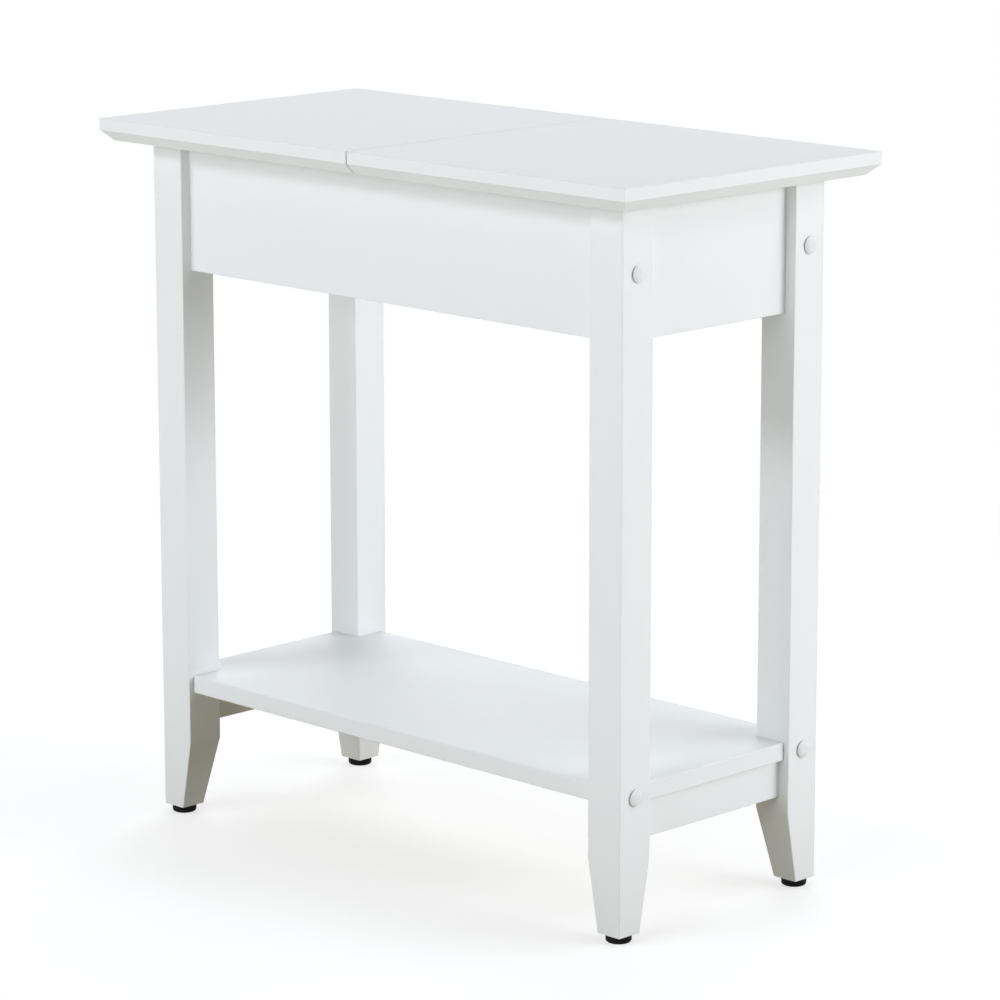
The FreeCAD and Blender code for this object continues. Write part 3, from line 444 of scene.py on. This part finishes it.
def bare_beech(grain):
    """Beech rod whose grain runs along x or y."""
    material, start = new_material("bare_beech_" + grain)
    fibres = noise(start, along(grain, lengthways=130, across=2400), detail=3.0)
    bands = noise(start, along(grain, lengthways=20, across=420), detail=2.0)
    flecks = between(start, fibres, low=0.58, high=0.66)
    colour = mixed(start, bands, BEECH_PALE, BEECH_BROWN)
    surface(start, {
        "Base Color": mixed(start, flecks * FLECK_SHOWS, colour, BEECH_FLECK),
        "Roughness": 0.55 + fibres * 0.2,
        "Normal": bumped(start, fibres, depth=0.03 * MM),
    })
    return material


beeches = {grain: bare_beech(grain) for grain in "xy"}
print("dowels:", ", ".join(material.name for material in beeches.values()))

# %% [markdown]
# ## Which part gets which finish
#
# The solids keep their shape, so only their material changes. Boards are cut with the grain along their
# length: along x for the top, the shelf and the long rails, along y for the end rails and stretchers, and
# upright for the legs.

# %% Paint the solids
FINISHES = (
    (lacquers["x"], ("fixed_top_panel", "flip_lid", "front_apron", "back_apron", "shelf",
                     "compartment_bottom", "front_cleat", "back_cleat")),
    (lacquers["y"], ("left_apron", "right_apron", "left_stretcher", "right_stretcher", "centre_rail")),
    (lacquers["z"], ("leg_front_left", "leg_front_right", "leg_back_left", "leg_back_right")),
    (zinc, ("apron_bolts", "shelf_bolts", "glide_nails")),
    (brass, ("hinge_fork_barrels", "hinge_tongue_barrels", "hinge_outer_links", "hinge_inner_links",
             "hinge_ear_pins", "hinge_cross_rivets", "hinge_tongue_pins")),
    (glide_plastic, ("foot_glides",)),
    (beeches["x"], ("apron_dowels", "rail_dowels")),
    (beeches["y"], ("end_apron_dowels", "stretcher_dowels")),
)

for finish, names in FINISHES:
    for name in names:
        for material_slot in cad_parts[name].material_slots:
            material_slot.material = finish
print("painted solids:", sum(len(names) for _, names in FINISHES))

# %% [markdown]
# ## Turning a profile
#
# Screws and barrel nuts are made on a lathe, and in mesh code a lathe is a loop: the same profile is copied
# at equal angles round an axis, and each pair of neighbours is joined with faces. Points of the profile that
# lie on the axis close the ends: all corners of such a ring are one and the same point.

# %% A small lathe
SIDES = 32


def on_circle(radius, side, sides, height):
    """Where one corner of a ring lies, if the ring has that many sides."""
    turn = math.tau * side / sides
    return radius * math.cos(turn), radius * math.sin(turn), height


def ring_of(mesh, radius, height, sides):
    """The corners of a ring, or one point over and over if the ring has no radius."""
    if radius == 0:
        return [mesh.verts.new((0, 0, height))] * sides
    return [mesh.verts.new(on_circle(radius, side, sides, height)) for side in range(sides)]


def join_rings(mesh, low, high):
    """A band of faces between two rings. Where corners coincide, a face has only three."""
    sides = len(low)
    for side in range(sides):
        after = (side + 1) % sides
        mesh.faces.new(dict.fromkeys((low[side], low[after], high[after], high[side])))


def turned_mesh(profile):
    """A closed mesh of revolution about z, from pairs of a radius and a height."""
    mesh = bmesh.new()
    rings = [ring_of(mesh, radius, height, SIDES) for radius, height in profile]
    for low, high in zip(rings, rings[1:]):
        join_rings(mesh, low, high)
    bmesh.ops.recalc_face_normals(mesh, faces=mesh.faces)
    return mesh


def prism_mesh(outline, low, high, taper=1.0):
    """An outline in x and y drawn up from low to high, with its upper end scaled by the taper."""
    mesh = bmesh.new()
    base = [mesh.verts.new((x, y, low)) for x, y in outline]
    lid = [mesh.verts.new((x * taper, y * taper, high)) for x, y in outline]
    mesh.faces.new(base)
    mesh.faces.new(lid)
    for first, second, third, fourth in zip(base, base[1:] + base[:1], lid[1:] + lid[:1], lid):
        mesh.faces.new((first, second, third, fourth))
    bmesh.ops.recalc_face_normals(mesh, faces=mesh.faces)
    return mesh


print("sides of a turned part:", SIDES)

# %% [markdown]
# ## Cutting one shape out of another
#
# A driver slot or a cross-drilled hole is the difference of two shapes. Blender's Boolean modifier works
# that out. The result is read back as a plain mesh, and the two helper objects are deleted, so that nothing
# is left in the scene but the finished piece.

# %% A helper that carves
def object_from(mesh, name):
    """A new object in the scene that holds what was built in mesh code."""
    data = bpy.data.meshes.new(name)
    mesh.to_mesh(data)
    mesh.free()
    made = bpy.data.objects.new(name, data)
    scene.collection.objects.link(made)
    return made


def carved(solid, *cutters):
    """The solid's mesh with every cutter's shape taken away."""
    body = object_from(solid, "solid")
    tools = [object_from(cutter, "cutter") for cutter in cutters]
    for tool in tools:
        cut = body.modifiers.new("cut", "BOOLEAN")
        cut.operation = "DIFFERENCE"
        cut.solver = "EXACT"
        cut.object = tool
    depsgraph = bpy.context.evaluated_depsgraph_get()
    result = bmesh.new()
    result.from_object(body, depsgraph)
    for helper in [body, *tools]:
        bpy.data.objects.remove(helper)
    return result


print("cutting is done by the Boolean modifier")

# %% [markdown]
# ## A pan-head wood screw
#
# The cleats, the rail and the shelf are held by small wood screws. A pan head is a flat-topped dome with a
# rounded rim, and its cross recess is a tapered plus shape. Below the head comes a short plain shank, and
# then the thread. All screws of the table share these measures and differ only in their length.

# %% Measures of a screw
HEAD_RADIUS = 3.5 * MM
HEAD_HEIGHT = 2.4 * MM
HEAD_STUB = 0.3 * MM
HEAD_SEAT_RADIUS = HEAD_RADIUS - 0.15 * MM
HEAD_RIM = (-0.2 * MM, -0.8 * MM)
HEAD_CROWN = ((3.3 * MM, -1.5 * MM), (2.8 * MM, -2.05 * MM), (2.1 * MM, -2.32 * MM),
              (1.1 * MM, -HEAD_HEIGHT))
SHANK_RADIUS = 1.75 * MM
SHANK_START = 0.2 * MM
SHANK_NARROWS = 0.5 * MM
PLAIN_SHANK = 5 * MM
CORE_RADIUS = 1.2 * MM
TIP_LENGTH = 3 * MM
THREAD_PITCH = 1.5 * MM
THREAD_SIDES = 16
RECESS_REACH = 2.0 * MM
RECESS_HALF_WIDTH = 0.5 * MM
RECESS_DEPTH = 1.5 * MM
RECESS_TAPER = 0.55
OVERCUT = 0.5 * MM
WELD = 0.0001 * MM

# The rows of one turn of the thread: a share of the pitch, and 0 at the root or 1 at the crest.
THREAD_ROWS = ((0.0, 0.0), (0.55, 0.0), (0.78, 1.0))

print("head:", 2 * HEAD_RADIUS / MM, "mm wide, thread:", 2 * SHANK_RADIUS / MM, "mm wide")

# %% [markdown]
# ## Turning the screw
#
# The head is turned, and the recess is cut out of it. The thread is one long strip that winds up the core:
# each turn has three rows, two at the root and one at the crest, and the last point of a row is joined to
# the first point of the same row one turn higher. Rows that would pass the tip are pinched to it, which
# closes the point.

# %% Make one screw
def screw_head():
    """A pan head below z = 0, with its cross recess open downwards."""
    rim = [(HEAD_RADIUS, height) for height in HEAD_RIM]
    head = turned_mesh((
        (0, HEAD_STUB), (SHANK_RADIUS, HEAD_STUB), (SHANK_RADIUS, 0), (HEAD_SEAT_RADIUS, 0),
        *rim, *HEAD_CROWN, (0, -HEAD_HEIGHT),
    ))
    reach, half = RECESS_REACH, RECESS_HALF_WIDTH
    arm = ((reach, -half), (reach, half), (half, half))
    quarter_turns = ((1, 0), (0, 1), (-1, 0), (0, -1))
    plus = [(x * c - y * s, x * s + y * c) for c, s in quarter_turns for x, y in arm]
    cross = prism_mesh(plus, -HEAD_HEIGHT - OVERCUT, -HEAD_HEIGHT + RECESS_DEPTH, taper=RECESS_TAPER)
    return carved(head, cross)


def thread_point(mesh, height, ridge, side, length):
    """One point of the thread: pinched to the core at the start and to the axis at the tip."""
    level = min(max(height, PLAIN_SHANK), length)
    radius = CORE_RADIUS + (SHANK_RADIUS - CORE_RADIUS) * ridge * (level > PLAIN_SHANK)
    radius = radius * min(1, (length - level) / TIP_LENGTH)
    return mesh.verts.new(on_circle(radius, side, THREAD_SIDES, level))


def thread_row(mesh, turns, ridge, length):
    """One turn of a helix that starts so many turns up the thread."""
    heights = [PLAIN_SHANK + THREAD_PITCH * (turns + side / THREAD_SIDES) for side in range(THREAD_SIDES)]
    return [thread_point(mesh, height, ridge, side, length) for side, height in enumerate(heights)]


def add_thread(mesh, length):
    """A helical thread from the plain shank to the tip, with spare turns that both ends pinch shut."""
    last_turn = math.ceil((length - PLAIN_SHANK) / THREAD_PITCH) + 2
    rows = [thread_row(mesh, turn + share, ridge, length)
            for turn in range(-1, last_turn) for share, ridge in THREAD_ROWS]
    per_turn = len(THREAD_ROWS)
    for row in range(len(rows) - 1 - per_turn):
        for side in range(THREAD_SIDES):
            wraps = side + 1 == THREAD_SIDES
            after, step = (0, per_turn) if wraps else (side + 1, 0)
            mesh.faces.new((rows[row][side], rows[row + step][after],
                            rows[row + step + 1][after], rows[row + 1][side]))


def screw_mesh(length):
    """A whole screw that points up, with the underside of its head at z = 0."""
    screw = screw_head()
    add_thread(screw, length)
    low = ring_of(screw, SHANK_RADIUS, SHANK_START, THREAD_SIDES)
    high = ring_of(screw, SHANK_RADIUS, PLAIN_SHANK - SHANK_NARROWS, THREAD_SIDES)
    core = ring_of(screw, CORE_RADIUS, PLAIN_SHANK, THREAD_SIDES)
    join_rings(screw, low, high)
    join_rings(screw, high, core)
    screw.faces.new(low[::-1])
    bmesh.ops.remove_doubles(screw, verts=screw.verts, dist=WELD)
    bmesh.ops.dissolve_degenerate(screw, edges=screw.edges, dist=WELD)
    return screw


SAMPLE_LENGTH = 27 * MM

sample = screw_mesh(SAMPLE_LENGTH)
print("one screw:", len(sample.faces), "faces, open edges:",
      sum(len(edge.link_faces) != 2 for edge in sample.edges))
sample.free()

# %% [markdown]
# ## Screws in their places
#
# Every group of screws in the table stands at the corners of its own box, one head's radius in from the
# box's sides. So the places are worked out from the box of the solid that a group replaces, and no
# coordinate is typed twice. A group becomes one piece, which rides on the table and hides its plain solid.

# %% Put the screws in
SMOOTH_ANGLE = math.radians(35)
PLACE_DIGITS = 6


def copies(shape, name, matrices):
    """One object with a copy of the shape at each matrix."""
    whole = bmesh.new()
    template = bpy.data.meshes.new("template")
    shape.to_mesh(template)
    shape.free()
    for matrix in matrices:
        placed = template.copy()
        placed.transform(matrix)
        whole.from_mesh(placed)
        bpy.data.meshes.remove(placed)
    bpy.data.meshes.remove(template)
    made = object_from(whole, name)
    for polygon in made.data.polygons:
        polygon.use_smooth = True
    made.data.set_sharp_from_angle(angle=SMOOTH_ANGLE)
    return made


def inset_pair(low, high, inset):
    """The two places that are inset from the ends of a span, or one if they coincide."""
    return sorted({round(low + inset, PLACE_DIGITS), round(high - inset, PLACE_DIGITS)})


def dress_fastener(piece, node):
    """The piece rides on the table, shows zinc and stands for the plain solid."""
    piece.data.materials.append(zinc)
    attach(piece, "table")
    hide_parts(node)


for node in ("cleat_screws", "rail_screws", "shelf_screws"):
    low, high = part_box(node)
    seat = low.z + HEAD_HEIGHT
    matrices = [Matrix.Translation((x, y, seat))
                for x in inset_pair(low.x, high.x, HEAD_RADIUS)
                for y in inset_pair(low.y, high.y, HEAD_RADIUS)]
    piece = copies(screw_mesh(high.z - seat), node + "_threaded", matrices)
    dress_fastener(piece, node)
    print(piece.name, len(matrices), "screws,", len(piece.data.polygons), "faces")

# %% [markdown]
# The screws that go sideways through the cleats lie down: the same screw is turned a quarter about x, one
# way for the front and the other way for the back.

# %% Put the sideways screws in
SIDE_SCREW_LENGTH = 27 * MM


def quarter_turn(side, axis):
    """A turn by 90 degrees about x, y or z, one way for side 1 and the other way for side -1."""
    return Matrix.Rotation(side * math.pi / 2, 4, axis)


low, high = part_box("cleat_side_screws")
matrices = []
for side in (-1, 1):
    seat = side * (high.y - SIDE_SCREW_LENGTH)
    for x in inset_pair(low.x, high.x, HEAD_RADIUS):
        matrices.append(Matrix.Translation((x, seat, (low.z + high.z) / 2)) @ quarter_turn(-side, "X"))
piece = copies(screw_mesh(SIDE_SCREW_LENGTH), "cleat_side_screws_threaded", matrices)
dress_fastener(piece, "cleat_side_screws")
print(piece.name, len(matrices), "screws,", len(piece.data.polygons), "faces")

# %% [markdown]
# ## Barrel nuts
#
# A connector bolt pulls a leg tight against a rail by screwing into a barrel nut, a short steel cylinder
# that is dropped into a cross hole. Its end is slotted, so that a screwdriver can turn the threaded hole
# towards the bolt. The end shows on the inside of the storage box and under the shelf.

# %% Make the barrel nuts
NUT_RADIUS = 5 * MM
NUT_LENGTH = 12 * MM
NUT_BEVEL = 0.5 * MM
NUT_BORE_RADIUS = 3 * MM
SLOT_HALF_WIDTH = 0.65 * MM
SLOT_DEPTH = 1.4 * MM
CUTTER_MARGIN = 1 * MM


def barrel_nut():
    """A nut along z with its slotted end down at z = 0 and its threaded hole along x."""
    inner = NUT_RADIUS - NUT_BEVEL
    barrel = turned_mesh(((0, 0), (inner, 0), (NUT_RADIUS, NUT_BEVEL), (NUT_RADIUS, NUT_LENGTH - NUT_BEVEL),
                          (inner, NUT_LENGTH), (0, NUT_LENGTH)))
    reach, half = NUT_RADIUS + CUTTER_MARGIN, SLOT_HALF_WIDTH
    slot_outline = ((-reach, -half), (reach, -half), (reach, half), (-reach, half))
    slot = prism_mesh(slot_outline, -CUTTER_MARGIN, SLOT_DEPTH)
    bore = turned_mesh(((0, -reach), (NUT_BORE_RADIUS, -reach), (NUT_BORE_RADIUS, reach), (0, reach)))
    across = Matrix.Translation((0, 0, NUT_LENGTH / 2)) @ quarter_turn(1, "Y")
    bmesh.ops.transform(bore, verts=bore.verts, matrix=across)
    return carved(barrel, slot, bore)


low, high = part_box("apron_nuts")
matrices = [Matrix.Translation((x, side * (high.y - NUT_LENGTH), (low.z + high.z) / 2))
            @ quarter_turn(-side, "X")
            for x in inset_pair(low.x, high.x, NUT_RADIUS) for side in (-1, 1)]
piece = copies(barrel_nut(), "apron_nuts_slotted", matrices)
dress_fastener(piece, "apron_nuts")
print(piece.name, len(matrices), "nuts,", len(piece.data.polygons), "faces")

low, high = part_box("shelf_nuts")
matrices = [Matrix.Translation((x, y, low.z))
            for x in inset_pair(low.x, high.x, NUT_RADIUS)
            for y in inset_pair(low.y, high.y, NUT_RADIUS)]
piece = copies(barrel_nut(), "shelf_nuts_slotted", matrices)
dress_fastener(piece, "shelf_nuts")
print(piece.name, len(matrices), "nuts,", len(piece.data.polygons), "faces")

# %% [markdown]
# ## The caps on the bolts
#
# A mushroom cap hides each bolt on the ends of the table. It has a stem that presses into the bolt's well, a
# thin flange and a low dome. The flange never sits quite flat on the paint, so from the side a dark crescent
# shows under its rim. That gap is too fine for the solid, and here it is only two more points of the profile.
# The solid's plain cap is a little wider, and its radius only serves to find the caps' centres in its box.

# %% Press the caps in
SOLID_CAP_RADIUS = 7.5 * MM

# Radius and height in millimetres, from the foot of the stem, round the flange, to the middle of the dome.
CAP_PROFILE = ((0, -2.8), (5.4, -2.8), (5.4, 0.8), (6.8, 0.8), (7.1, 1.0), (7.1, 1.3), (6.9, 1.5),
               (6.4, 1.6), (6.1, 1.85), (5.2, 2.38), (3.8, 2.75), (2.0, 2.94), (0, 3.0))

low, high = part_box("bolt_caps")
_, dome_height = CAP_PROFILE[-1]
leg_face = high.x - dome_height * MM
matrices = [Matrix.Translation((side * leg_face, y, z)) @ quarter_turn(side, "Y")
            for side in (-1, 1)
            for y in inset_pair(low.y, high.y, SOLID_CAP_RADIUS)
            for z in inset_pair(low.z, high.z, SOLID_CAP_RADIUS)]
cap = turned_mesh([(radius * MM, height * MM) for radius, height in CAP_PROFILE])
piece = copies(cap, "bolt_caps_domed", matrices)
piece.data.materials.append(caps_plastic)
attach(piece, "table")
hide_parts("bolt_caps")
print(piece.name, len(matrices), "caps,", len(piece.data.polygons), "faces")

# %% [markdown]
# ## The floor
#
# The table stands on a plain pale sweep. To the camera the floor is nearly white: part of its light is
# ordinary reflected light, which keeps the soft shadow of the table, and part is its own glow, which lifts
# the rest to white. Further away, where the lamps are weak, only the glow is left, at full white. To the
# light that bounces off it, the floor is a warm grey, and right under the table it is painted a deeper
# brown: painted shade that stands for the table's own shadow there, so that the underside of the shelf and
# the insides of the feet stay in a warm shade. The Light Path node tells the two kinds of ray apart.

# %% Lay the floor
FLOOR_HALF_WIDTH = 14.0
FLOOR_DROP = 0.2 * MM
FLOOR_PALE = (0.42, 0.42, 0.42)
FLOOR_GLOW = 0.64
FLOOR_BOUNCE = (0.64, 0.60, 0.51)
# The bounce colour right under the table is painted shade for the table's shadow on the floor.
SHADED_BOUNCE = (0.29, 0.225, 0.10)
SHADE_FULL = 0.20
SHADE_END = 0.55
SHADOW_REACH = 0.75
WHITE_REACH = 1.5
WHITE_LIGHT = (1, 1, 1, 1)


def seen_directly(start):
    """1 for rays from the camera, from a reflection or through glass, and 0 for bounced light."""
    rays = [start.node("LightPath", {}, {}, kind)
            for kind in ("Is Camera Ray", "Is Glossy Ray", "Is Transmission Ray")]
    either = start.sum("MAXIMUM", rays[0], rays[1])
    return start.sum("MAXIMUM", either, rays[2])


def floor_material():
    """A white floor to look at, and a grey one for light to bounce from, painted darker under the table as
    shade.
    """
    material, start = new_material("pale_floor")
    distance = start.node("VectorMath", {"operation": "LENGTH"}, {0: place_in_metres(start)}, "Value")
    # Painted shade: near the table the bounced colour turns to the darker brown.
    open_floor = between(start, distance, low=SHADE_FULL, high=SHADE_END)
    bounce = mixed(start, open_floor, SHADED_BOUNCE, FLOOR_BOUNCE)
    grey = start.node("BsdfDiffuse", {}, {"Color": bounce})
    lit = start.node("BsdfDiffuse", {}, {"Color": (*FLOOR_PALE, 1)})
    glow = start.node("Emission", {}, {"Color": WHITE_LIGHT, "Strength": FLOOR_GLOW})
    white = start.node("Emission", {}, {"Color": WHITE_LIGHT, "Strength": 1.0})
    pale = start.node("AddShader", {}, {0: lit, 1: glow})
    far = between(start, distance, low=SHADOW_REACH, high=WHITE_REACH)
    sweep = start.node("MixShader", {}, {0: far, 1: pale, 2: white})
    shown = start.node("MixShader", {}, {0: seen_directly(start), 1: grey, 2: sweep})
    start.node("OutputMaterial", {}, {"Surface": shown})
    return material


floor_mesh = bmesh.new()
corners = ((-1, -1), (1, -1), (1, 1), (-1, 1))
floor_mesh.faces.new([floor_mesh.verts.new((x * FLOOR_HALF_WIDTH, y * FLOOR_HALF_WIDTH, -FLOOR_DROP))
                      for x, y in corners])
floor = object_from(floor_mesh, "floor")
floor.data.materials.append(floor_material())
print("floor:", 2 * FLOOR_HALF_WIDTH, "m wide")

# %% [markdown]
# ## The room's light
#
# The world is the light that comes from everywhere. It is a soft, slightly warm grey, weak enough that the
# lamps still model the shapes, and it is plain white where it is seen directly, behind the table or in a
# shiny screw.

# %% Light the room
AMBIENT = (1.0, 0.965, 0.91)
AMBIENT_LEVEL = 0.17


def studio_world():
    """A warm grey that lights the table, and plain white to look at."""
    world = bpy.data.worlds.new("studio")
    world.use_nodes = True
    world.node_tree.nodes.clear()
    start = Signal(world.node_tree)
    ambient = start.node("Background", {}, {"Color": (*AMBIENT, 1), "Strength": AMBIENT_LEVEL})
    white = start.node("Background", {}, {"Color": WHITE_LIGHT, "Strength": 1.0})
    sky = start.node("MixShader", {}, {0: seen_directly(start), 1: ambient, 2: white})
    start.node("OutputWorld", {}, {"Surface": sky})
    return world


scene.world = studio_world()
print("ambient level:", AMBIENT_LEVEL)

# %% [markdown]
# ## The lamps
#
# Softboxes hang round the table, all at one distance and in a slightly cool white. The one on the right
# lights the end of the table. Of the two at the front, the low one reaches in under the overhang of the top
# and the high one draws its soft shadow. The fills behind and overhead light the top and the shelf. Low
# lamps on the far side would mirror in the satin top as a blank glare, so reflections leave them out. A
# lamp's power is worked out from the brightness that it gives a white card at the table, so its level can
# be read as a share of plain white.

# %% Hang the softboxes
AIM = Vector((0, 0, 0.33))
LAMP_COLOUR = (0.915, 0.945, 1.0)
LAMP_DISTANCE = 4.5

# Name, azimuth and elevation in degrees, width and height in metres, level, and whether it is mirrored.
LAMPS = (
    ("right_softbox", 114, 12, 2.4, 1.3, 0.605, False),
    ("low_front_softbox", 5, 11.5, 2.0, 1.5, 0.395, True),
    ("high_front_softbox", -20, 30, 2.0, 0.9, 0.310, True),
    ("rear_right_fill", 140, 30, 2.0, 0.9, 0.220, False),
    ("rear_left_fill", 220, 32, 3.0, 3.0, 0.530, False),
    ("overhead_fill", 45, 85, 2.5, 2.5, 0.070, True),
)


def hang(name, azimuth, elevation, width, height, level, mirrored):
    """A rectangular lamp that faces the table from that direction."""
    lamp = bpy.data.lights.new(name, "AREA")
    lamp.color = LAMP_COLOUR
    lamp.shape = "RECTANGLE"
    lamp.size = width
    lamp.size_y = height
    lamp.energy = level * math.pi ** 2 * LAMP_DISTANCE ** 2
    turn, rise = math.radians(azimuth), math.radians(elevation)
    outward = Vector((math.sin(turn) * math.cos(rise), -math.cos(turn) * math.cos(rise), math.sin(rise)))
    hung = bpy.data.objects.new(name, lamp)
    hung.location = AIM + outward * LAMP_DISTANCE
    hung.rotation_euler = outward.to_track_quat("Z", "Y").to_euler()
    hung.visible_glossy = mirrored
    scene.collection.objects.link(hung)
    print(name, "at", [round(value, 2) for value in hung.location], "power", round(lamp.energy), "W")


for lamp_facts in LAMPS:
    hang(*lamp_facts)
